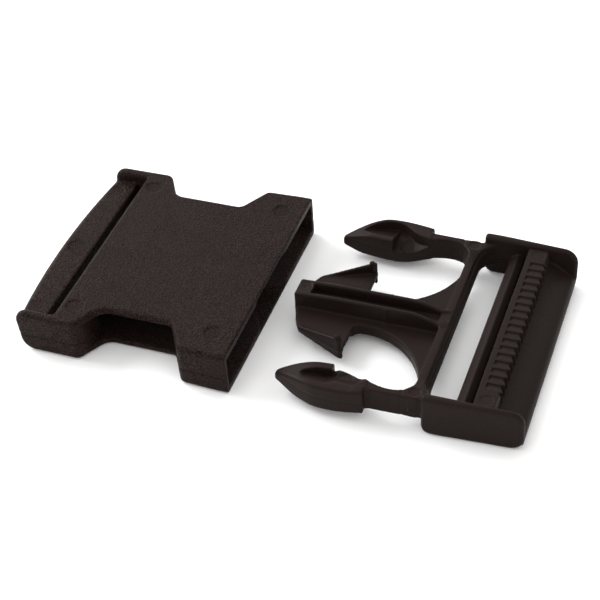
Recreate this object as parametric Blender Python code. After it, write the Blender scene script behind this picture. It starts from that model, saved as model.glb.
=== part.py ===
"""Side-release buckle for 50 mm webbing, lying unfastened: socket half at -X, plug half at +X.

Blender 4.5 script, metres, +Z up. Both halves stand on Z = 0 and share the line Y = 0, and X is the
direction in which the plug is pushed home. Lengths below are in millimetres and scaled by MM.
Stations along X are measured from the socket's mouth, and shifted by MOUTH_X when a mesh is made.
"""
import math

import bmesh
import bpy

MM = 0.001

# Whole object
MOUTH_X = -5.85            # socket mouth, measured from the middle of the whole object
GAP = 0.3                  # hairline seam between members of one moulding
MID_Z = 5.5                # mid-plane of the fastened buckle
WEBBING_SLOT_Y = 52.0      # length of every webbing slot, for 50 mm webbing

# Socket half
SOCKET_HEIGHT = 11.0
SOCKET_HALF_WIDTH = 29.0   # at the mouth
CHEEK_HALF_WIDTH = 28.2    # at the rear cheeks
CHEEK_REAR_X = -51.6
PLATE = 2.3                # wall thickness of the top and bottom plates
CAVITY_HALF_WIDTH = 26.8
CAVITY_REAR_X = -39.2
SLOT_FRONT_X = -42.1       # front wall of the socket's webbing slot
SLOT_WIDTH = 4.3
BAR_END_X = -51.4          # rear edge of the webbing bar at its two ends
BAR_BOW = 2.1              # how far the bar's rear edge bows out at the middle
BAR_Z = (1.0, 8.1)
WINDOW_FLOOR_Y = 21.3      # edge of the plates inside the finger windows
WINDOW_X = (-36.1, -32.2, -15.7, -11.2)   # rear slope start, end, front slope start, end
CHANNEL_HALF_WIDTH = 3.2   # guide channel for the tongue's rails
CHANNEL_MOUTH_HALF = 12.4  # the same channel where it flares at the mouth
CHANNEL_DEPTH = 1.0
EDGE_ROUND = 0.9           # rounding of the socket's long outer edges

# Plug half, at rest, just out of the mouth
CHEEK_FRONT_X = 43.3       # front of the plug's side cheeks
PLUG_END_X = 65.2
PLUG_HALF_WIDTH = 28.1
PLUG_END_HALF_WIDTH = 27.2
PLUG_HEIGHT = 10.6
PRONG_Z = (2.6, 8.4)       # prongs and crossbar
CROSSBAR_X = (40.4, 42.7)
CROSSBAR_HALF_Y = 26.4
ADJUSTER_BAR_X = (49.2, 51.8)
ADJUSTER_BAR_Z = (3.2, 6.9)
GRIP_BAR_X = (54.2, 58.6)
GRIP_BAR_Z = (2.4, 9.3)
END_PLATE_X = 58.9         # where the end plate begins, behind the gripping bar
END_PLATE_TOP_Z = (6.4, 3.4)
END_PLATE_BOTTOM_Z = 1.0
TOOTH_COUNT = 18
TOOTH_BAND = 44.0          # length of the toothed stretch
TOOTH_HEIGHT = 0.8
TOOTH_REACH = 0.8          # how far each tooth stands out of the bar's outer face

# Tongue
TONGUE_TIP_X = 6.5
RAIL_HALF_WIDTH = 2.6
RAIL_Z = (1.7, 9.3)
RAIL_GROOVE_HALF_WIDTH = 1.5
RAIL_GROOVE_FLOOR_Z = 5.6
WEB_Z = (2.6, 4.8)
WING_TIP_X = 20.6
WING_TIP_Y = 13.6
WING_TOP_Z = 7.9

# Prongs
PRONG_TIP_X = 9.9
PRONG_TIP_Y = 24.0
HEAD_HALF_WIDTH = 29.2     # widest place of the two heads, from the centre line
STEP_X = 30.3              # latching face of the head
STEM_Y = (24.6, 26.5)
STEM_ROOT_X = 38.5         # where the stem meets the frame
HEAD_POCKET_DEPTH = 2.0

BODY_COLOUR = (0.034, 0.026, 0.023, 1.0)


def arc(centre, radius, start, end, steps):
    """Points of a circular arc, angles in degrees."""
    points = []
    for i in range(steps + 1):
        a = math.radians(start + (end - start) * i / steps)
        points.append((centre[0] + radius * math.cos(a), centre[1] + radius * math.sin(a)))
    return points


def bezier(p0, p1, p2, p3, steps):
    """Points of a cubic curve from p0 to p3."""
    points = []
    for i in range(steps + 1):
        t = i / steps
        s = 1.0 - t
        weights = (s * s * s, 3 * s * s * t, 3 * s * t * t, t * t * t)
        x = sum(w * p[0] for w, p in zip(weights, (p0, p1, p2, p3)))
        y = sum(w * p[1] for w, p in zip(weights, (p0, p1, p2, p3)))
        points.append((x, y))
    return points


def rounded(corners, steps=5):
    """A polygon whose corners (x, y, radius) are rounded off with arcs."""
    points = []
    count = len(corners)
    for i, (x, y, radius) in enumerate(corners):
        if radius <= 0:
            points.append((x, y))
            continue
        px, py, _ = corners[i - 1]
        nx, ny, _ = corners[(i + 1) % count]
        ax, ay = px - x, py - y
        bx, by = nx - x, ny - y
        la, lb = math.hypot(ax, ay), math.hypot(bx, by)
        ax, ay, bx, by = ax / la, ay / la, bx / lb, by / lb
        half = math.acos(max(-1.0, min(1.0, ax * bx + ay * by))) / 2
        reach = radius / math.tan(half)
        mx, my = ax + bx, ay + by
        lm = math.hypot(mx, my)
        cx = x + mx / lm * radius / math.sin(half)
        cy = y + my / lm * radius / math.sin(half)
        start = math.atan2(y + ay * reach - cy, x + ax * reach - cx)
        end = math.atan2(y + by * reach - cy, x + bx * reach - cx)
        turn = (end - start + math.pi) % (2 * math.pi) - math.pi
        for k in range(steps + 1):
            a = start + turn * k / steps
            points.append((cx + radius * math.cos(a), cy + radius * math.sin(a)))
    return points


def mirrored(points):
    """The same outline on the other side of the centre line, with its direction kept."""
    return [(x, -y) for x, y in reversed(points)]


def make_material(name, roughness):
    material = bpy.data.materials.new(name)
    material.use_nodes = True
    shader = material.node_tree.nodes["Principled BSDF"]
    shader.inputs["Base Color"].default_value = BODY_COLOUR
    shader.inputs["Roughness"].default_value = roughness
    shader.inputs["Metallic"].default_value = 0.0
    return material


def signed_area(points):
    total = 0.0
    for (x0, y0), (x1, y1) in zip(points, points[1:] + points[:1]):
        total += x0 * y1 - x1 * y0
    return total


def prism(name, outline, z_low, z_high, cutter=False):
    """A solid between two heights. z_low and z_high are numbers, or functions of x and y."""
    if signed_area(outline) < 0:
        outline = list(reversed(outline))
    low = z_low if callable(z_low) else (lambda x, y: z_low)
    high = z_high if callable(z_high) else (lambda x, y: z_high)
    mesh = bpy.data.meshes.new(name)
    bm = bmesh.new()
    bottom = [bm.verts.new(((x + MOUTH_X) * MM, y * MM, low(x, y) * MM)) for x, y in outline]
    top = [bm.verts.new(((x + MOUTH_X) * MM, y * MM, high(x, y) * MM)) for x, y in outline]
    count = len(outline)
    for i in range(count):
        j = (i + 1) % count
        bm.faces.new((bottom[i], bottom[j], top[j], top[i]))
    bm.faces.new(list(reversed(bottom)))
    bm.faces.new(top)
    bm.to_mesh(mesh)
    bm.free()
    piece = bpy.data.objects.new(name, mesh)
    bpy.context.collection.objects.link(piece)
    if cutter:
        piece.hide_render = True
        piece.display_type = "WIRE"
    return piece


def profile_bar(name, profile, half_length, cutter=False):
    """A solid of constant section along Y. The profile is a list of (x, z) points."""
    piece = prism(name, profile, -half_length, half_length, cutter)
    for vertex in piece.data.vertices:
        x, z, y = vertex.co
        vertex.co = (x, -y, z)
    return piece


def box(name, x, y, z, cutter=False):
    outline = [(x[0], y[0]), (x[1], y[0]), (x[1], y[1]), (x[0], y[1])]
    return prism(name, outline, z[0], z[1], cutter)


def combine(piece, other, operation):
    modifier = piece.modifiers.new(f"{operation.lower()}_{other.name}", "BOOLEAN")
    modifier.operation = operation
    modifier.solver = "EXACT"
    modifier.object = other


def cut(piece, *cutters):
    for cutter in cutters:
        combine(piece, cutter, "DIFFERENCE")


def join(piece, *others):
    for other in others:
        other.hide_render = True
        other.display_type = "WIRE"
        combine(piece, other, "UNION")


def soften(piece, width, segments=2, angle=40.0):
    """Round the sharp edges. Arcs in the outline are shallower than the angle and stay as they are."""
    modifier = piece.modifiers.new("edge_round", "BEVEL")
    modifier.width = width * MM
    modifier.segments = segments
    modifier.limit_method = "ANGLE"
    modifier.angle_limit = math.radians(angle)
    modifier.use_clamp_overlap = True


def finish(piece, material):
    piece.data.materials.clear()
    piece.data.materials.append(material)
    piece.data.shade_smooth()
    piece.data.set_sharp_from_angle(angle=math.radians(30))


def socket_outline():
    """Plan outline of the socket half without its webbing bar, both sides."""
    rear_slope, rear_floor, front_floor, front_slope = WINDOW_X
    inner = WEBBING_SLOT_Y / 2
    side = [
        (SLOT_FRONT_X, 0.0, 0.0),
        (SLOT_FRONT_X, inner, 0.6),
        (CHEEK_REAR_X, inner, 0.6),
        (CHEEK_REAR_X, CHEEK_HALF_WIDTH, 1.4),
        (rear_slope, CHEEK_HALF_WIDTH, 1.6),
        (rear_floor, WINDOW_FLOOR_Y, 3.0),
        (front_floor, WINDOW_FLOOR_Y, 1.6),
        (front_slope, SOCKET_HALF_WIDTH - 0.2, 1.6),
        (0.0, SOCKET_HALF_WIDTH, 0.3),
    ]
    other = [(x, -y, r) for x, y, r in reversed(side[1:])]
    return rounded(side + other, 5)


def build_socket_shell(material):
    shell = prism("socket_shell", socket_outline(), 0.0, SOCKET_HEIGHT)
    soften(shell, EDGE_ROUND)
    low, high = PLATE, SOCKET_HEIGHT - PLATE
    wall = CAVITY_HALF_WIDTH
    rear_slope, _, _, front_slope = WINDOW_X
    past = SOCKET_HALF_WIDTH + 5.0
    cavity = rounded([
        (CAVITY_REAR_X, -14.0, 1.5), (CAVITY_REAR_X + 3.0, -18.5, 1.0),
        (rear_slope + 0.9, -24.8, 0.0), (rear_slope + 0.9, -past, 0.0),
        (front_slope - 0.9, -past, 0.0), (front_slope - 0.9, -wall, 0.0),
        (3.0, -wall, 0.0), (3.0, wall, 0.0),
        (front_slope - 0.9, wall, 0.0), (front_slope - 0.9, past, 0.0),
        (rear_slope + 0.9, past, 0.0), (rear_slope + 0.9, 24.8, 0.0),
        (CAVITY_REAR_X + 3.0, 18.5, 1.0), (CAVITY_REAR_X, 14.0, 1.5),
    ], 3)
    channel = channel_outline()
    cut(
        shell,
        prism("cavity_cutter", cavity, low, high, cutter=True),
        prism("channel_cutter", channel, low - CHANNEL_DEPTH, high + CHANNEL_DEPTH, cutter=True),
    )
    finish(shell, material)
    return shell


def channel_outline():
    """Guide channel for the tongue's rails, flaring to the mouth in two arcs."""
    flare = 5.0
    past = 3.0
    narrow, wide = CHANNEL_HALF_WIDTH, CHANNEL_MOUTH_HALF
    curve = bezier((-flare, narrow), (-flare / 2, narrow + 0.5), (-0.6, wide - 4.0), (0.0, wide), 8)
    side = curve + [(past, wide)]
    return [(CAVITY_REAR_X, narrow)] + side + [(x, -y) for x, y in reversed(side)] + [
        (CAVITY_REAR_X, -narrow)]


def build_webbing_bar(material):
    """Bar that the webbing loops round. Its rear edge is a shallow arc."""
    half = WEBBING_SLOT_Y / 2 - GAP
    front = SLOT_FRONT_X - SLOT_WIDTH
    radius = (half * half + BAR_BOW * BAR_BOW) / (2 * BAR_BOW)
    reach = math.degrees(math.asin(half / radius))
    centre = (BAR_END_X - BAR_BOW + radius, 0.0)
    rear = arc(centre, radius, 180 - reach, 180 + reach, 16)
    outline = [(front, half)] + rear + [(front, -half)]
    bar = prism("socket_webbing_bar", outline, *BAR_Z)
    soften(bar, 0.7)
    finish(bar, material)
    return bar


def d_cutout_curve():
    """Edge of the tongue's web and of the crossbar, from behind the wing to the seam line."""
    return bezier((22.6, 5.6), (31.5, 3.0), (37.5, 7.5), (CROSSBAR_X[0] - GAP, 16.6), 14)


def build_frame(material):
    """Crossbar, side cheeks, prong roots and end plate of the plug."""
    frame = box("plug_frame", CROSSBAR_X, (-CROSSBAR_HALF_Y, CROSSBAR_HALF_Y), PRONG_Z)
    inner = WEBBING_SLOT_Y / 2
    for side, sign in (("near", -1), ("far", 1)):
        cheek = rounded([
            (CHEEK_FRONT_X, inner - 1.4, 0.0),
            (CHEEK_FRONT_X, PLUG_HALF_WIDTH, 1.0),
            (PLUG_END_X, PLUG_END_HALF_WIDTH, 3.2),
            (PLUG_END_X, inner - 2.6, 0.0),
            (END_PLATE_X + 1.5, inner - 2.6, 0.0),
            (END_PLATE_X, inner, 0.0),
            (CROSSBAR_X[1] + 0.8, inner, 0.0),
            (CROSSBAR_X[1] + 0.8, inner - 1.4, 0.0),
        ], 6)
        root = [(STEM_ROOT_X, STEM_Y[1])]
        root += bezier((STEM_ROOT_X, STEM_Y[0]), (39.8, STEM_Y[0] - 0.2), (CROSSBAR_X[0], 23.0),
                       (CROSSBAR_X[0], 20.0), 6)
        root += [(CROSSBAR_X[0] + 1.0, 20.0), (CHEEK_FRONT_X + 1.0, STEM_Y[1])]
        if sign < 0:
            cheek, root = mirrored(cheek), mirrored(root)
        cheek_piece = prism(f"{side}_cheek", cheek, 0.0, PLUG_HEIGHT)
        soften(cheek_piece, 0.8, angle=50.0)
        join(frame, prism(f"{side}_root", root, *PRONG_Z), cheek_piece)
    join(frame, build_end_plate())
    finish(frame, material)
    return frame


def build_end_plate():
    """Dished plate behind the gripping bar, sloping down to the outer end."""
    top_in, top_out = END_PLATE_TOP_Z
    low = END_PLATE_BOTTOM_Z
    profile = [
        (END_PLATE_X, low),
        (END_PLATE_X, top_in),
        (END_PLATE_X + 2.5, top_in - 1.8),
        (PLUG_END_X - 1.2, top_out),
        (PLUG_END_X - 0.35, top_out - 0.35),
        (PLUG_END_X, top_out - 1.2),
        (PLUG_END_X, low),
    ]
    return profile_bar("end_plate", profile, WEBBING_SLOT_Y / 2 - 0.6)


def build_adjuster_bar(material):
    """Middle bar between the two webbing slots, with a raised edge towards the teeth."""
    x0, x1 = ADJUSTER_BAR_X
    z0, z1 = ADJUSTER_BAR_Z
    profile = [
        (x0, z0 + 0.5), (x0, z1 - 1.7), (x0 + 0.6, z1 - 1.0), (x1 - 0.9, z1),
        (x1 - 0.3, z1 - 0.2), (x1, z1 - 0.8), (x1, z0 + 0.5), (x1 - 0.5, z0), (x0 + 0.5, z0),
    ]
    bar = profile_bar("adjuster_bar", profile, WEBBING_SLOT_Y / 2 - GAP)
    finish(bar, material)
    return bar


def build_gripping_bar(material):
    """Bar whose top and outer edge carry the teeth that bite the webbing."""
    x0, x1 = GRIP_BAR_X
    z0, z1 = GRIP_BAR_Z
    half = WEBBING_SLOT_Y / 2 - GAP
    tooth_x = x1 - TOOTH_REACH
    floor_z = z1 - TOOTH_HEIGHT
    bar = profile_bar("gripping_bar", [
        (x0, z0 + 0.6), (x0, z1 - 0.4), (x0 + 0.4, z1), (tooth_x, z1), (tooth_x, z0), (x0 + 0.6, z0),
    ], half)
    band = TOOTH_BAND / 2
    pitch = TOOTH_BAND / TOOTH_COUNT
    recess = box("tooth_band_cutter", (x0 + 1.1, x1 + 1.0), (-band, band), (floor_z, z1 + 1.0), True)
    cut(bar, recess)
    teeth = prism("teeth", tooth_row_outline(x0 + 0.9, tooth_x, x1, band, pitch), z0 + 3.0, z1 - 0.15)
    comb = prism("tooth_gap_cutter", tooth_gap_outline(x0 + 1.1, x1 + 1.0, band, pitch),
                 floor_z, z1 + 1.0, cutter=True)
    cut(teeth, comb)
    join(bar, teeth)
    finish(bar, material)
    return bar


def tooth_row_outline(x_back, x_face, x_tip, band, pitch):
    """Plan outline of the toothed stretch: one slanting face and one step per tooth."""
    outline = [(x_back, -band), (x_back, band)]
    for i in range(TOOTH_COUNT):
        top = band - i * pitch
        outline.append((x_face - 0.4, top))
        outline.append((x_tip, top - pitch * 0.97))
    return outline


def tooth_gap_outline(x_back, x_past, band, pitch):
    """Comb of grooves that leaves one ridge at the low-Y side of each tooth."""
    outline = [(x_past, band + 0.5), (x_past, -band - 0.5)]
    for i in reversed(range(TOOTH_COUNT)):
        top = band - i * pitch
        low = top - pitch * 0.55
        outline.extend([(x_past - 0.1, low), (x_back, low), (x_back, top - 0.1), (x_past - 0.1, top - 0.1)])
    return outline


def build_tongue(material):
    """Guide tongue: two rails over a web, with a barbed wing on each side."""
    tip, end = TONGUE_TIP_X, CROSSBAR_X[0] - GAP
    rail = rounded([
        (tip, -RAIL_HALF_WIDTH, 0.4), (end, -RAIL_HALF_WIDTH, 0.0),
        (end, RAIL_HALF_WIDTH, 0.0), (tip, RAIL_HALF_WIDTH, 0.4),
    ], 3)
    tongue = prism("guide_tongue", rail, *RAIL_Z)
    groove = RAIL_GROOVE_HALF_WIDTH
    cut(tongue, box("rail_groove_cutter", (tip + 3.3, end + 1.0), (-groove, groove),
                    (RAIL_GROOVE_FLOOR_Z, RAIL_Z[1] + 1.0), cutter=True))
    half_web = [(tip + 0.1, 0.0), (tip + 0.1, 6.4), (tip + 0.9, 7.1), (WING_TIP_X - 0.3, WING_TIP_Y)]
    half_web += arc((WING_TIP_X - 0.1, WING_TIP_Y - 0.7), 0.7, 80, -10, 3)
    half_web += [(WING_TIP_X + 1.0, 8.2)]
    half_web += d_cutout_curve()
    half_web += [(end, 0.0)]
    web = half_web + [(x, -y) for x, y in reversed(half_web[1:-1])]
    join(tongue, prism("web", web, *WEB_Z))
    for side, sign in (("near", -1), ("far", 1)):
        fin = [
            (tip + 1.2, 6.6), (tip + 1.0, 7.1), (WING_TIP_X - 0.3, WING_TIP_Y),
            (WING_TIP_X + 0.4, WING_TIP_Y - 0.5), (WING_TIP_X + 0.6, WING_TIP_Y - 1.6),
        ]
        if sign < 0:
            fin = mirrored(fin)
        join(tongue, prism(f"{side}_fin", fin, WEB_Z[0] + 0.4, fin_top))
    finish(tongue, material)
    return tongue


def fin_top(x, y):
    """Top edge of a wing's fin, rising from the web to its full height at the barb."""
    share = (x - TONGUE_TIP_X - 1.0) / (WING_TIP_X - TONGUE_TIP_X - 1.0)
    return WEB_Z[1] + 0.2 + (WING_TOP_Z - WEB_Z[1] - 0.2) * max(0.0, min(1.0, share))


def prong_outline():
    """Plan outline of the far prong: arrow head, latching step and slender stem."""
    tip = arc((PRONG_TIP_X + 1.1, PRONG_TIP_Y), 1.1, 235, 120, 5)
    shoulder = (17.6, 28.3)
    outer = bezier(tip[-1], (13.0, 26.2), (15.6, 27.6), shoulder, 6)
    crown = bezier(shoulder, (20.4, 29.6), (25.5, HEAD_HALF_WIDTH + 0.3), (STEP_X, 28.4), 8)
    step = [(STEP_X, STEM_Y[1] + 0.7), (STEP_X + 0.2, STEM_Y[1] + 0.2), (STEP_X + 0.7, STEM_Y[1])]
    stem = [(STEM_ROOT_X - GAP, STEM_Y[1]), (STEM_ROOT_X - GAP, STEM_Y[0])]
    inner = bezier((36.2, STEM_Y[0]), (32.0, STEM_Y[0]), (27.5, 22.2), (23.0, 21.7), 8)
    nose = bezier((23.0, 21.7), (19.5, 21.4), (15.0, 22.2), tip[0], 6)
    return tip + outer[1:] + crown[1:] + step + stem + inner + nose[1:-1]


def head_top(x, y):
    """Height of the head's top face, which falls away to the tip."""
    share = max(0.0, min(1.0, (x - PRONG_TIP_X) / 9.0))
    return MID_Z + 0.9 + (PRONG_Z[1] - MID_Z - 0.9) * math.sin(share * math.pi / 2)


def head_bottom(x, y):
    return 2 * MID_Z - head_top(x, y)


def build_prong(name, sign, material):
    """One sprung prong. Its origin is on the axis about which its root flexes."""
    outline = prong_outline()
    pocket = [(14.0, 24.9), (18.0, 27.5), (23.0, 28.0), (26.0, 27.6), (28.3, 25.8), (25.5, 24.0),
              (22.0, 23.2), (18.0, 23.4)]
    if sign < 0:
        outline, pocket = mirrored(outline), mirrored(pocket)
    prong = prism(name, outline, head_bottom, head_top)
    floor_high = PRONG_Z[1] - HEAD_POCKET_DEPTH
    floor_low = PRONG_Z[0] + HEAD_POCKET_DEPTH
    cut(
        prong,
        prism(f"{name}_top_pocket", pocket, floor_high, PRONG_Z[1] + 2.0, cutter=True),
        prism(f"{name}_bottom_pocket", pocket, PRONG_Z[0] - 2.0, floor_low, cutter=True),
    )
    finish(prong, material)
    return prong


def place_on_hinge(piece, sign):
    """Move the piece's origin to its flexing axis and keep the shape where it is."""
    origin = ((STEM_ROOT_X + 0.3 + MOUTH_X) * MM, sign * (STEM_Y[0] + STEM_Y[1]) / 2 * MM, MID_Z * MM)
    for vertex in piece.data.vertices:
        vertex.co.x -= origin[0]
        vertex.co.y -= origin[1]
        vertex.co.z -= origin[2]
    piece.location = origin


def main():
    for item in list(bpy.data.objects):
        bpy.data.objects.remove(item, do_unlink=True)
    build_socket_shell(make_material("grained_socket", 0.62))
    build_webbing_bar(make_material("socket_bar_plastic", 0.5))
    build_frame(make_material("plug_plastic", 0.42))
    build_adjuster_bar(make_material("adjuster_bar_plastic", 0.42))
    build_gripping_bar(make_material("gripping_bar_plastic", 0.42))
    build_tongue(make_material("tongue_plastic", 0.42))
    for name, sign in (("near_prong", -1), ("far_prong", 1)):
        prong = build_prong(name, sign, make_material(f"{name}_plastic", 0.42))
        place_on_hinge(prong, sign)


main()
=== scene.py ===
"""Side-release buckle for 50 mm webbing, unfastened, on a white table.

Each moulding is described as a signed distance field in millimetres and turned into a mesh, so that
walls run into each other with the fillets a moulding has. X is measured from the socket's mouth, Y from
the centre line and Z from the table. Each half is nearly the same on both sides of the centre line, so
most outlines are drawn once, over X and ya, the distance from that line.
"""
import math

import bpy
import numpy as np
from mathutils import Matrix, Vector


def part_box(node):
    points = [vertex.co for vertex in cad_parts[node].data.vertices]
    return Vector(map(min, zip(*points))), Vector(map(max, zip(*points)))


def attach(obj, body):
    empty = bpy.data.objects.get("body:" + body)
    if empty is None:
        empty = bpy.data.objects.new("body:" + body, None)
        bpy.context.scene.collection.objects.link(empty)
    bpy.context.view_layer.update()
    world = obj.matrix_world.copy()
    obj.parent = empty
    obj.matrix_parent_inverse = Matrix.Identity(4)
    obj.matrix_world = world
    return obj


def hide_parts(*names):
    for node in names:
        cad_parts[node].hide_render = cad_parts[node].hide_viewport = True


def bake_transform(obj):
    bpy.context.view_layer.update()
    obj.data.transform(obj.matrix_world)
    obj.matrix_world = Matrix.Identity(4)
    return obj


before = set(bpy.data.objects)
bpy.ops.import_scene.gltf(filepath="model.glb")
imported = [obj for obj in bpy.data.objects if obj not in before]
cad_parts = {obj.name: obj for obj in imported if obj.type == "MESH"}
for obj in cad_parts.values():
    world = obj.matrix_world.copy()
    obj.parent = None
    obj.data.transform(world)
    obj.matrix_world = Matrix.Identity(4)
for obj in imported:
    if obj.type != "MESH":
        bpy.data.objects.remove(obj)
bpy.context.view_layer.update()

MM = 0.001
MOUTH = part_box("socket_shell")[1].x / MM      # the mouth plane in the frame, mm
MARK_EDGE = 0.04           # rounding at the edge of an ejector mark

# Socket half, mm
SOCKET_TOP = 11.0
SOCKET_PARTING = 4.6       # height of its parting line
BAR_REAR = -53.45
BAR_FRONT = -45.2

# Plug half, mm
CROSSBAR_FRONT = 40.3
CROSSBAR_REAR = 42.25
BARS_HALF = 26.6           # half length of the bars, whose ends are buried in the cheeks
RAIL_HALF = 2.65           # half width over the tongue's rails
TEETH = 18
TOOTHED_LENGTH = 42.4
PITCH = TOOTHED_LENGTH / TEETH
CREST_START = 0.70         # share of a tooth's pitch taken by its sloping floor
BAR_TOP = 9.5              # top of the toothed bar
PRONG_MID = 5.4            # height of the plane about which the two prongs are turned over
NOSE_END = 22.35           # where a prong head's nose meets its flat shelf


# ---------------------------------------------------------------- distance fields

class Space:
    """A block of sample points. x, y and z broadcast against each other."""

    def __init__(self, low, high, step):
        self.low, self.step = low, step
        axes = [np.arange(a, b + step, step) for a, b in zip(low, high)]
        self.x = axes[0][:, None, None]
        self.y = axes[1][None, :, None]
        self.z = axes[2][None, None, :]
        self.shape = tuple(len(a) for a in axes)


def polygon(points, a, b):
    """Signed distance to a closed outline in the plane of a and b, negative inside."""
    a, b = np.broadcast_arrays(a, b)
    best = np.full(a.shape, 1e9)
    inside = np.zeros(a.shape, bool)
    for (a0, b0), (a1, b1) in zip(points, points[1:] + points[:1]):
        ea, eb = a1 - a0, b1 - b0
        length = ea * ea + eb * eb
        if length < 1e-12:
            continue
        wa, wb = a - a0, b - b0
        t = np.clip((wa * ea + wb * eb) / length, 0, 1)
        best = np.minimum(best, (wa - ea * t) ** 2 + (wb - eb * t) ** 2)
        if abs(eb) > 1e-12:
            crosses = (b0 > b) != (b1 > b)
            inside ^= crosses & (a < a0 + wb / eb * ea)
    distance = np.sqrt(best)
    return np.where(inside, -distance, distance)


def both(a, b, radius=0.0):
    """What lies in a and in b, with the edge between them rounded."""
    if radius <= 0:
        return np.maximum(a, b)
    inner = np.minimum(np.maximum(a + radius, b + radius), 0)
    return inner + np.hypot(np.maximum(a + radius, 0), np.maximum(b + radius, 0)) - radius


def either(a, b, fillet=0.0):
    """What lies in a or in b, with a fillet between them."""
    if fillet <= 0:
        return np.minimum(a, b)
    h = np.clip(0.5 + 0.5 * (b - a) / fillet, 0, 1)
    return b + (a - b) * h - fillet * h * (1 - h)


def without(a, b, radius=0.0):
    """What lies in a but not in b, with the edge of the cut rounded."""
    return both(a, -b, radius)


def between(v, low, high):
    """The slab from low to high."""
    return np.abs(v - (low + high) / 2) - (high - low) / 2


def smooth(v, low, high):
    """0 below low, 1 above high, and an S-curve between."""
    t = np.clip((v - low) / (high - low), 0, 1)
    return t * t * (3 - 2 * t)


def arc(centre, radius, start, end, steps):
    turn = [math.radians(start + (end - start) * i / steps) for i in range(steps + 1)]
    return [(centre[0] + radius * math.cos(a), centre[1] + radius * math.sin(a)) for a in turn]


def bezier(p0, p1, p2, p3, steps):
    points = []
    for i in range(steps + 1):
        t = i / steps
        w = ((1 - t) ** 3, 3 * t * (1 - t) ** 2, 3 * t * t * (1 - t), t ** 3)
        points.append(tuple(sum(k * p[n] for k, p in zip(w, (p0, p1, p2, p3))) for n in (0, 1)))
    return points


def rounded(corners, steps=6):
    """An outline whose corners (a, b, radius) are arcs."""
    points = []
    for i, (a, b, radius) in enumerate(corners):
        if radius <= 0:
            points.append((a, b))
            continue
        corner = Vector((a, b))
        back = (Vector(corners[i - 1][:2]) - corner).normalized()
        ahead = (Vector(corners[(i + 1) % len(corners)][:2]) - corner).normalized()
        half = back.angle(ahead) / 2
        centre = corner + (back + ahead).normalized() * (radius / math.sin(half))
        start = corner + back * (radius / math.tan(half)) - centre
        end = corner + ahead * (radius / math.tan(half)) - centre
        a0 = math.atan2(start.y, start.x)
        turn = (math.atan2(end.y, end.x) - a0 + math.pi) % (2 * math.pi) - math.pi
        for k in range(steps + 1):
            angle = a0 + turn * k / steps
            points.append((centre.x + radius * math.cos(angle), centre.y + radius * math.sin(angle)))
    return points


def parting_groove(z, level, depth, width):
    """How far a face is drawn in beside its parting line."""
    return depth * np.exp(-((z - level) / width) ** 2)


def ejector_mark(body, x, y, z, radius, floor):
    """The body with a shallow round mark in its top. x and y are measured from the mark's middle."""
    return without(body, both(np.hypot(x, y) - radius, floor - z), MARK_EDGE)


# ---------------------------------------------------------------- meshes

def surface_net(field, low, step):
    """Vertices and quads of the surface where the field is zero."""
    cells = tuple(n - 1 for n in field.shape)
    total = np.zeros((cells[0] * cells[1] * cells[2], 3))
    count = np.zeros(len(total))
    quads = []
    for axis in range(3):
        u, v = (axis + 1) % 3, (axis + 2) % 3
        a = np.take(field, range(field.shape[axis] - 1), axis)
        b = np.take(field, range(1, field.shape[axis]), axis)
        index = np.argwhere((a < 0) != (b < 0))
        inner = (index[:, u] > 0) & (index[:, v] > 0)
        inner &= (index[:, u] < cells[u]) & (index[:, v] < cells[v])
        index = index[inner]
        fa, fb = a[tuple(index.T)], b[tuple(index.T)]
        spot = index.astype(float)
        spot[:, axis] += fa / (fa - fb)
        corners = []
        for du, dv in ((-1, -1), (0, -1), (0, 0), (-1, 0)):
            cell = index.copy()
            cell[:, u] += du
            cell[:, v] += dv
            flat = np.ravel_multi_index(tuple(cell.T), cells)
            corners.append(flat)
            for n in range(3):
                total[:, n] += np.bincount(flat, spot[:, n], len(total))
            count += np.bincount(flat, minlength=len(total))
        quad = np.stack(corners, 1)
        quads.append(np.where((fa < 0)[:, None], quad, quad[:, ::-1]))
    used = count > 0
    number = np.cumsum(used) - 1
    points = total[used] / count[used][:, None] * step + np.array(low)
    return points, number[np.concatenate(quads)]


def mesh_piece(name, points, faces, material):
    """A smooth-shaded object. Points are in millimetres from the mouth."""
    mesh = bpy.data.meshes.new(name)
    placed = (points + np.array((MOUTH, 0, 0))) * MM
    mesh.vertices.add(len(placed))
    mesh.vertices.foreach_set("co", placed.ravel())
    mesh.loops.add(faces.size)
    mesh.loops.foreach_set("vertex_index", faces.ravel())
    mesh.polygons.add(len(faces))
    mesh.polygons.foreach_set("loop_start", np.arange(0, faces.size, 4))
    mesh.update(calc_edges=True)
    mesh.validate()
    mesh.shade_smooth()
    piece = bpy.data.objects.new(name, mesh)
    bpy.context.collection.objects.link(piece)
    mesh.materials.append(material)
    return piece


def mould(name, space, field, material, mirrored=False):
    """The piece whose field is sampled over space, or its mirror image about the centre line."""
    filled = np.ascontiguousarray(np.broadcast_to(field, space.shape))
    points, faces = surface_net(filled, space.low, space.step)
    if mirrored:
        points = points * np.array((1, -1, 1))
        faces = faces[:, ::-1].copy()
    return mesh_piece(name, points, faces, material)


# ---------------------------------------------------------------- socket half

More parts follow.
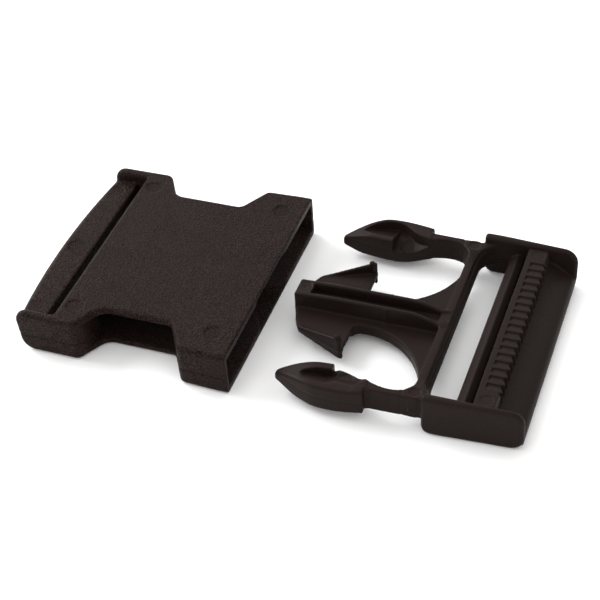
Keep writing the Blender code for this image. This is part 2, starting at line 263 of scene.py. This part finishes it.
def socket_shell(s, ya):
    """The shell's outside, with the rear cheeks and a finger window in each side."""
    rear_cheek = [(-42.3, -1.0, 0), (-42.3, 26.0, 0.5), (-54.0, 26.0, 0), (-54.0, 28.3, 0)]
    window = [(-36.5, 28.4, 1.8), (-32.4, 21.3, 3.2), (-15.6, 21.3, 1.7), (-11.3, 28.6, 1.7)]
    past_mouth = [(-3.0, 28.95, 0), (3.0, 28.95, 0), (3.0, -1.0, 0)]
    plan = polygon(rounded(rear_cheek + window + past_mouth), s.x, ya)
    plan = plan + parting_groove(s.z, SOCKET_PARTING, 0.22, 0.22)
    side = rounded([(-50.8, 0, 3.3), (4.0, 0, 0), (4.0, SOCKET_TOP, 0), (-51.6, SOCKET_TOP, 2.8)], 8)
    shell = both(plan, polygon(side, s.x, s.z), 1.05)
    return both(shell, s.x, 0.22)


def webbing_bar(s):
    """The socket's rear bar, whose rear face bows outwards."""
    half, bow = 27.2, 2.0
    radius = (half * half + bow * bow) / (2 * bow)
    reach = math.degrees(math.asin(half / radius))
    rear = arc((BAR_REAR + radius, 0), radius, 180 - reach, 180 + reach, 24)
    plan = polygon([(-43.0, half)] + rear + [(-43.0, -half)], s.x, s.y)
    return both(both(plan, between(s.z, 1.0, 8.1), 1.7), s.x - BAR_FRONT, 0.5)


def socket_cavity(s, ya):
    """The hollow behind the mouth, open to the finger windows."""
    rear = [(-38.8, -1.0, 0), (-38.8, 14.0, 1.5), (-35.9, 18.5, 1.0), (-35.2, 24.0, 0), (-35.2, 34.0, 0)]
    pillar = [(-11.85, 34.0, 0), (-11.85, 27.0, 0.3), (-9.0, 27.2, 0)]
    plan = rounded(rear + pillar + [(4.0, 27.9, 0), (4.0, -1.0, 0)], 4)
    return both(polygon(plan, s.x, ya), between(s.z, 1.75, 9.25), 0.3)


def rail_channel(s, ya):
    """The channel for the tongue's rails in floor and roof. It flares at the mouth."""
    flare = bezier((-5.6, 3.3), (-3.6, 3.6), (-0.8, 5.4), (0.0, 9.6), 10)
    plan = [(-38.6, -1.0), (-38.6, 3.2)] + flare + [(4.0, 10.5), (4.0, -1.0)]
    return both(polygon(plan, s.x, ya), between(s.z, 0.95, 10.05), 0.1)


def socket_field(s):
    ya = np.abs(s.y)
    body = either(socket_shell(s, ya), webbing_bar(s), 0.6)
    body = without(body, socket_cavity(s, ya), 0.22)
    body = without(body, rail_channel(s, ya), 0.15)
    roof_marks = [(-38.7, 22.4, 2.1, SOCKET_TOP - 0.26), (-5.2, 22.0, 2.2, SOCKET_TOP - 0.28)]
    bar_marks = [(-49.2, 22.0, 2.0, 7.86), (-49.6, 0.0, 2.0, 7.86)]
    for x, y, radius, floor in roof_marks + bar_marks:
        body = ejector_mark(body, s.x - x, ya - y, s.z, radius, floor)
    return body


# ---------------------------------------------------------------- plug half

def crossbar(s, ya):
    """Crossbar: a flat land with a lower skirt, both swept round into the cheeks."""
    top = 7.3 + 1.1 * smooth(ya, 19.5, 24.0)
    plans = []
    for shift in (0.0, 0.5):
        rear = CROSSBAR_REAR + shift
        sweep = bezier((rear, 19.0), (42.35 + shift, 23.2), (44.0 + shift, 25.7), (47.6, 26.3), 12)
        outer = [(47.6, 27.0), (44.6, 27.0), (43.6, 26.5), (CROSSBAR_FRONT, 26.5)]
        plans.append(polygon([(CROSSBAR_FRONT, -1.0), (rear, -1.0)] + sweep + outer, s.x, ya))
    land = both(plans[0], np.maximum(s.z - top, 2.6 - s.z), 0.3)
    draft = 0.41 * np.clip(6.3 - s.z, 0, 2.3)
    skirt = np.maximum(plans[1] - draft, CROSSBAR_FRONT - s.x)
    skirt = both(skirt, np.maximum(s.z - top + 1.0, 4.4 - s.z), 0.35)
    return either(land, skirt, 0.3)


def cheek(s, ya):
    """A side cheek, standing over both ends of the bars."""
    outer = [(40.0, 25.95), (40.0, 28.1), (47.0, 28.1), (68.0, 26.95)]
    plan = polygon(outer + [(68.0, 25.3), (62.0, 25.9)], s.x, ya)
    side = rounded([(43.2, 0, 2.0), (65.1, 0, 2.9), (65.1, 10.5, 3.3), (43.2, 10.5, 0.7)], 8)
    return both(plan, polygon(side, s.x, s.z), 0.85)


def adjuster_bar(s, ya):
    """The ridged bar between the two webbing slots."""
    section = rounded([
        (49.3, 3.2, 0.4), (52.6, 2.2, 0.3), (52.9, 6.0, 0.25), (51.6, 6.9, 0.15), (51.3, 7.0, 0.15),
        (49.7, 5.9, 0.5), (49.3, 5.0, 0.4),
    ], 4)
    return both(polygon(section, s.x, s.z), ya - BARS_HALF)


def end_plate(s, ya):
    """The dished plate that closes the plug's rear, under the toothed bar."""
    dish = bezier((57.0, 6.7), (60.4, 6.5), (61.6, 4.3), (64.3, 3.3), 12)
    rim = [(64.75, 2.7), (64.95, 2.0), (64.95, 1.2), (64.7, 1.0)]
    return both(polygon([(57.0, 1.0)] + dish + rim, s.x, s.z), ya - 26.4)


def tongue_web(s, ya):
    """The tongue's flat web, with a barbed wing and a rounded cut-out behind it on each side."""
    wing = [(6.5, -1.0), (6.6, 2.6), (8.0, 6.7), (9.0, 8.7), (9.9, 9.35)]
    barb = [(20.5, 13.65), (21.0, 13.6), (21.25, 13.0)]
    cut = arc((22.9, 6.35), 1.6, 180, 262, 6)
    cut += bezier((23.2, 4.75), (28.0, 4.3), (37.4, 7.2), (CROSSBAR_FRONT, 19.0), 18)
    end = [(40.8, 19.0), (41.5, 19.0), (41.5, -1.0)]
    plan = polygon(wing + barb + cut + end, s.x, ya) + parting_groove(s.z, 3.6, 0.07, 0.2)
    under = 2.1 + 1.9 * smooth(ya, 6.0, 7.2) * (1 - smooth(s.x, 22.0, 23.0))
    return both(plan, np.maximum(s.z - 5.0, under - s.z), 0.2)


def tongue_rails(s, ya):
    """The tongue's rails, with a groove between them and a small round rib on each side."""
    front = [(6.4, 1.8), (6.4, 8.5), (6.7, 8.75), (10.0, 8.95), (16.0, 9.25)]
    fall = bezier((33.0, 9.25), (36.4, 9.1), (38.0, 7.9), (41.2, 7.2), 8)
    side = polygon(front + fall + [(41.2, 2.6), (38.5, 2.4), (35.5, 1.8)], s.x, s.z)
    rails = both(ya - RAIL_HALF, side, 0.28)
    groove = both(both(ya - 1.6, 10.0 - s.x, 0.2), both(s.x - 39.6, 6.3 - s.z), 0.2)
    rails = without(rails, groove, 0.2)
    rib = np.hypot(s.x - 28.0, ya - 2.6) - 0.42
    return either(rails, both(rib, between(s.z, 3.5, 9.0), 0.2), 0.15)


def tongue_fin(s, ya):
    """The fin on a wing's outer edge. It deepens towards the barb and ends in a round knob."""
    share = np.clip((s.x - 9.4) / 10.4, 0, 1.1)
    line = [(9.5, 8.4), (9.2, 8.9), (9.9, 9.35)]
    line += [(20.5, 13.65), (21.2, 13.4), (21.2, 12.7), (20.2, 12.65)]
    top, low = 4.9 + 2.7 * share, 3.3 - 1.2 * share
    fin = both(polygon(line, s.x, ya), np.maximum(s.z - top, low - s.z), 0.22)
    knob = both(np.hypot(s.x - 20.1, ya - 12.8) - 0.68, between(s.z, 5.6, 8.4), 0.4)
    return np.minimum(fin, knob)


def stem_field(x, y, z):
    """A prong's slender stem with its foot spreading into the crossbar. y is measured outwards."""
    inner = bezier((44.0, 19.0), (40.6, 19.0), (40.9, 24.7), (36.4, 25.0), 10)
    inner += bezier((36.4, 25.0), (34.0, 25.2), (32.0, 24.6), (29.0, 23.3), 6)
    plan = polygon([(29.0, 26.75), (44.0, 26.5)] + inner, x, y)
    top = 8.4 - 1.1 * smooth(-y, -24.0, -19.5)
    return both(plan, np.maximum(z - top, 2.5 - z), 0.35)


def stem_stub(s, ya):
    """The root of a prong's stem. It fades out inside the stem of the prong itself."""
    fade = 0.35 * smooth(-s.x, -39.3, -37.0)
    return both(stem_field(s.x, ya, s.z) + fade, between(s.x, 37.3, 41.8))


def plug_field(s):
    ya = np.abs(s.y)
    plug = either(crossbar(s, ya), cheek(s, ya), 0.5)
    plug = either(plug, adjuster_bar(s, ya), 0.35)
    plug = either(plug, end_plate(s, ya), 0.15)
    tongue = either(tongue_web(s, ya), tongue_rails(s, ya), 0.5)
    tongue = either(tongue, tongue_fin(s, ya), 0.3)
    plug = either(plug, tongue, 0.9)
    plug = either(plug, stem_stub(s, ya), 0.35)

    crossbar_marks = [(40.9, 0.6, 1.5, 7.12), (41.2, -24.7, 1.35, 8.2), (41.2, 24.7, 1.35, 8.2)]
    tip_x, tip_y = 8.2, 0.2
    for x, y, radius, floor in crossbar_marks + [(tip_x, tip_y, 1.6, 8.62)]:
        plug = ejector_mark(plug, s.x - x, s.y - y, s.z, radius, floor)
    dimple = np.sqrt((s.x - tip_x) ** 2 + (s.y - tip_y) ** 2 + (s.z - 8.8) ** 2) - 0.45
    return without(plug, dimple, 0.1)


def gripping_field(s):
    """Toothed bar: narrow crests between sloping floors, each crest running out to a pointed tip."""
    front, low = 53.75, 1.3
    side = rounded([(front, low, 0.5), (60.4, low, 0), (60.4, BAR_TOP, 0), (front, BAR_TOP, 0.25)], 5)
    half = TOOTHED_LENGTH / 2
    phase = np.mod((half - s.y) / PITCH, 1.0)
    toothed = np.abs(s.y) < half

    # The rear edge runs out and back once a tooth, and is straight along the plain lands
    tip, root, reach = 0.84, 58.0, 0.95
    out = root + reach * phase / tip
    back = root + reach - reach * (phase - tip) / (1 - tip)
    land_edge = 58.7 - 0.5 * np.clip(s.z - 8.6, 0, 1)
    edge = np.where(toothed, np.where(phase < tip, out, back), land_edge)
    slant = 0.75               # the edge runs at a slant, so s.x - edge overstates the distance to it
    bar = both(polygon(side, s.x, s.z), (s.x - edge) * slant, 0.1)

    floor = BAR_TOP - 0.34 + 0.24 * np.clip(phase / CREST_START, 0, 1)
    pocket = 0.10 * (1 - smooth(s.x, 55.3, 55.9)) * (1 - smooth(phase, 0.35, 0.6))
    sunk = toothed & (phase < CREST_START)
    bar = without(bar, np.where(sunk, np.maximum(55.15 - s.x, floor - pocket - s.z), 1.0))
    bar = np.where(s.z < 6.4, both(bar, s.x - 58.2), bar)
    for side_y in (-23.9, 23.9):
        bar = ejector_mark(bar, s.x - 56.3, s.y - side_y, s.z, 1.5, BAR_TOP - 0.1)
    return both(bar, np.abs(s.y) - BARS_HALF)


def shallow_recess(x, y):
    """Plan and floor of a head's shallow face: from a thin lip the floor climbs to the outer rim."""
    lip = [(15.4, 26.0), (15.6, 25.1), (16.6, 24.3), (19.0, 23.55), (NOSE_END, 23.15), (NOSE_END, 20.0)]
    plan = polygon(lip + [(32.0, 20.0), (32.0, 30.0), (15.4, 30.0)], x, y)
    floor = 6.1 + 2.4 * np.clip((y - 23.2) / 4.4, 0, 1) ** 0.85 + 1.0 * smooth(-x, -17.0, -14.6)
    shelf = 6.8 + 1.7 * smooth(y, 22.8, 27.2) + 1.7 * smooth(x, 27.6, 31.2)
    blend = smooth(x, 22.0, 23.6)
    return plan, floor * (1 - blend) + shelf * blend


def deep_recess(x, y):
    """Plan and floor of a head's deep face: the outer rim sweeps inwards to become the stem."""
    rim = bezier((14.0, 23.9), (15.4, 26.3), (18.2, 27.9), (21.6, 28.0), 8)
    rim += bezier((21.6, 28.0), (25.6, 28.0), (25.6, 24.2), (31.6, 24.15), 12)[1:]
    plan = polygon(rim + [(31.6, 20.0), (14.0, 20.0)], x, y)
    floor = 6.1 + 2.2 * np.clip((27.4 - y) / 4.7, 0, 1) ** 1.2
    shelf = 5.0 + 0.9 * smooth(y, 22.8, 26.6) + 1.2 * smooth(x, 26.5, 31.4)
    return plan, np.where(x < NOSE_END, floor, shelf)


def prong_head(x, y, z):
    """A prong's arrow-shaped head before its faces are hollowed."""
    outer = bezier((9.9, 24.6), (12.6, 26.0), (15.6, 27.8), (18.8, 28.85), 8)
    outer += bezier((18.8, 28.9), (21.6, 29.5), (26.0, 29.3), (30.7, 28.35), 8)[1:]
    latch_step = [(30.7, 26.9), (31.2, 26.65)]
    inner = bezier((31.0, 24.1), (28.6, 22.7), (26.2, 21.5), (23.4, 21.2), 6)
    nose = bezier((22.3, 21.2), (18.5, 21.3), (14.0, 22.0), (10.0, 22.9), 8)
    plan = polygon(outer + latch_step + inner + nose + [(9.5, 23.3), (9.45, 24.3)], x, y)
    plan = plan + parting_groove(z, PRONG_MID, 0.06, 0.2)
    top = 4.7 + 3.9 * np.sin(np.clip((x - 8.6) / 11.5, 0, 1) * math.pi / 2)
    low = 2.9 - 1.0 * smooth(x, 9.0, 15.0) + 0.3 * smooth(x, 24.0, 31.0)
    return both(plan, np.maximum(z - top, low - z), 0.7)


def prong_field(s, upper_recess, lower_recess):
    """A prong, with y growing outwards. Its two faces are hollowed differently."""
    x, y, z = s.x, s.y, s.z
    head = prong_head(x, y, z)
    ejector_sink = np.where(np.hypot(x - 25.5, y - 23.7) < 1.75, 0.22, 0.0)
    plan, floor = upper_recess(x, y)
    head = without(head, both(plan, floor - ejector_sink - z), 0.2)
    plan, floor = lower_recess(x, y)
    height = 2 * PRONG_MID - z
    in_nose = x - NOSE_END
    head = without(head, both(both(plan, floor - ejector_sink - height), in_nose), 0.2)
    sink = 0.55 * smooth(x, 37.8, 40.4)       # ends the stem inside the plug's stub
    stem = both(stem_field(x, y, z) + sink, x - 41.2)
    stem = both(stem, 30.2 - x)
    return either(head, stem, 0.3)


# ---------------------------------------------------------------- materials

def noise(tree, place, scale, detail, roughness=0.5, distortion=0.0):
    """A noise texture over the given coordinates."""
    texture = tree.nodes.new("ShaderNodeTexNoise")
    texture.inputs["Scale"].default_value = scale
    texture.inputs["Detail"].default_value = detail
    texture.inputs["Roughness"].default_value = roughness
    texture.inputs["Distortion"].default_value = distortion
    tree.links.new(place, texture.inputs["Vector"])
    return texture.outputs["Fac"]


def tone(tree, specks, cloud, contrast, colour):
    """The base colour: dark and light specks, with a slow cloudiness from the melt's flow."""
    mixed = tree.nodes.new("ShaderNodeMath")
    mixed.operation = "MULTIPLY_ADD"
    tree.links.new(cloud, mixed.inputs[0])
    mixed.inputs[1].default_value = 0.1
    tree.links.new(specks, mixed.inputs[2])
    ramp = tree.nodes.new("ShaderNodeValToRGB")
    dark, light = ramp.color_ramp.elements
    dark.position, light.position = 0.40, 0.78
    dark.color = (*[c * (1 - 0.6 * contrast) for c in colour], 1)
    light.color = (*[c * (1 + 1.5 * contrast) for c in colour], 1)
    tree.links.new(mixed.outputs[0], ramp.inputs["Fac"])
    return ramp.outputs["Color"]


def bump(tree, height, depth, under=None):
    """The normal of a relief of the given depth in millimetres, on top of another normal."""
    relief = tree.nodes.new("ShaderNodeBump")
    relief.inputs["Strength"].default_value = 1.0
    relief.inputs["Distance"].default_value = depth * MM
    tree.links.new(height, relief.inputs["Height"])
    if under is not None:
        tree.links.new(under, relief.inputs["Normal"])
    return relief.outputs["Normal"]


def plastic(name, colour, grain, contrast, roughness, specular):
    """Moulded plastic in a dark body colour, with the mould's texture.

    grain is the depth of that texture in millimetres, contrast how much its specks differ in tone."""
    material = bpy.data.materials.new(name)
    material.use_nodes = True
    tree = material.node_tree
    shader = tree.nodes["Principled BSDF"]
    shader.inputs["IOR"].default_value = 1.48
    shader.inputs["Specular IOR Level"].default_value = specular
    place = tree.nodes.new("ShaderNodeTexCoord").outputs["Object"]
    specks = noise(tree, place, 2800.0, 1.0)
    cloud = noise(tree, place, 90.0, 4.0, roughness=0.55)
    tree.links.new(tone(tree, specks, cloud, contrast, colour), shader.inputs["Base Color"])

    flow = noise(tree, place, 260.0, 3.0, distortion=0.6)
    sheen = tree.nodes.new("ShaderNodeMapRange")
    sheen.inputs["To Min"].default_value = roughness - 0.07
    sheen.inputs["To Max"].default_value = roughness + 0.07
    tree.links.new(flow, sheen.inputs["Value"])
    tree.links.new(sheen.outputs["Result"], shader.inputs["Roughness"])

    coarse = bump(tree, specks, grain)
    fine = bump(tree, noise(tree, place, 4200.0, 2.0), 0.25 * grain + 0.003, under=coarse)
    tree.links.new(fine, shader.inputs["Normal"])
    return material


grained = plastic("grained_plastic", (0.0104, 0.0061, 0.0051), grain=0.3, contrast=1.25,
                  roughness=0.38, specular=0.04)
satin = plastic("satin_plastic", (0.0124, 0.0079, 0.0067), grain=0.03, contrast=0.15,
                roughness=0.4, specular=0.055)


# ---------------------------------------------------------------- pieces

def add(name, space, field, material, body, nodes):
    """A moulded piece that rides on one body in place of the named nodes."""
    piece = mould(name, space, field, material)
    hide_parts(*nodes)
    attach(piece, body)


def add_prong(side, sign, upper_recess, lower_recess):
    """A prong, as a piece of its own in place of the prong node."""
    space = Space((8.7, 18.0, 0.9), (42.3, 30.1, 9.5), 0.2)
    field = prong_field(space, upper_recess, lower_recess)
    prong = mould(f"{side}_prong_arm", space, field, satin, mirrored=sign < 0)
    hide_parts(f"{side}_prong")
    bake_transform(prong)


space = Space((-54.2, -29.9, -0.9), (0.9, 29.9, 11.9), 0.33)
add("socket_moulding", space, socket_field(space), grained, "socket",
    ("socket_shell", "socket_webbing_bar"))

space = Space((5.6, -28.9, -0.9), (65.9, 28.9, 11.3), 0.29)
add("plug_moulding", space, plug_field(space), satin, "plug",
    ("plug_frame", "guide_tongue", "adjuster_bar"))

step = PITCH / 16
reach = 185.5 * step       # just past the bar's ends, and half a step off every tooth's edges
space = Space((53.3, -reach, 0.8), (60.2, reach, 10.1), step)
add("toothed_bar", space, gripping_field(space), satin, "plug", ("gripping_bar",))

add_prong("near", -1, shallow_recess, deep_recess)
add_prong("far", 1, deep_recess, shallow_recess)


# ---------------------------------------------------------------- table, lights and camera

def make_table():
    mesh = bpy.data.meshes.new("table_top")
    mesh.from_pydata([(-3, -3, 0), (3, -3, 0), (3, 3, 0), (-3, 3, 0)], [], [(0, 1, 2, 3)])
    table = bpy.data.objects.new("table_top", mesh)
    bpy.context.collection.objects.link(table)
    material = bpy.data.materials.new("white_sweep")
    material.use_nodes = True
    shader = material.node_tree.nodes["Principled BSDF"]
    shader.inputs["Base Color"].default_value = (0.93, 0.935, 0.94, 1)
    shader.inputs["Roughness"].default_value = 0.9
    shader.inputs["Specular IOR Level"].default_value = 0.1
    mesh.materials.append(material)


def make_world():
    """An even, faintly warm white light from all round."""
    world = bpy.data.worlds.new("studio")
    world.use_nodes = True
    background = world.node_tree.nodes["Background"]
    background.inputs["Color"].default_value = (1.0, 0.985, 0.975, 1)
    background.inputs["Strength"].default_value = 1.18
    bpy.context.scene.world = world
    bpy.context.scene.view_settings.view_transform = "Standard"


def make_lamp(name, place, size, power):
    """A soft rectangular lamp that faces the buckle. Places and sizes are in metres."""
    light = bpy.data.lights.new(name, "AREA")
    light.shape = "RECTANGLE"
    light.size, light.size_y = size
    light.energy = power
    lamp = bpy.data.objects.new(name, light)
    bpy.context.collection.objects.link(lamp)
    lamp.location = place
    lamp.rotation_euler = (-Vector(place)).to_track_quat("-Z", "Y").to_euler()


def make_camera():
    azimuth, elevation, roll = (math.radians(v) for v in (22.5, 41.9, -4.45))
    distance = 0.3465
    target = Vector((-1.05 * MM, 4.53 * MM, 0))
    ahead = Vector((-math.sin(azimuth) * math.cos(elevation), math.cos(azimuth) * math.cos(elevation),
                    -math.sin(elevation)))
    right = Vector((math.cos(azimuth), math.sin(azimuth), 0))
    up = right.cross(ahead)
    level, tilt = math.cos(roll), math.sin(roll)
    right, up = right * level + up * tilt, up * level - right * tilt
    data = bpy.data.cameras.new("camera")
    data.lens = 89.15
    data.sensor_width = 36.0
    data.clip_start = 0.01
    camera = bpy.data.objects.new("camera", data)
    bpy.context.collection.objects.link(camera)
    turn = Matrix((right, up, -ahead)).transposed().to_4x4()
    camera.matrix_world = Matrix.Translation(target - ahead * distance) @ turn
    bpy.context.scene.camera = camera


make_table()
make_world()
make_lamp("key", (-0.8, 0.2, 0.55), (0.7, 0.6), 11.0)
make_lamp("back_panel", (-0.5, 1.0, 0.97), (1.1, 1.0), 2.6)
make_camera()
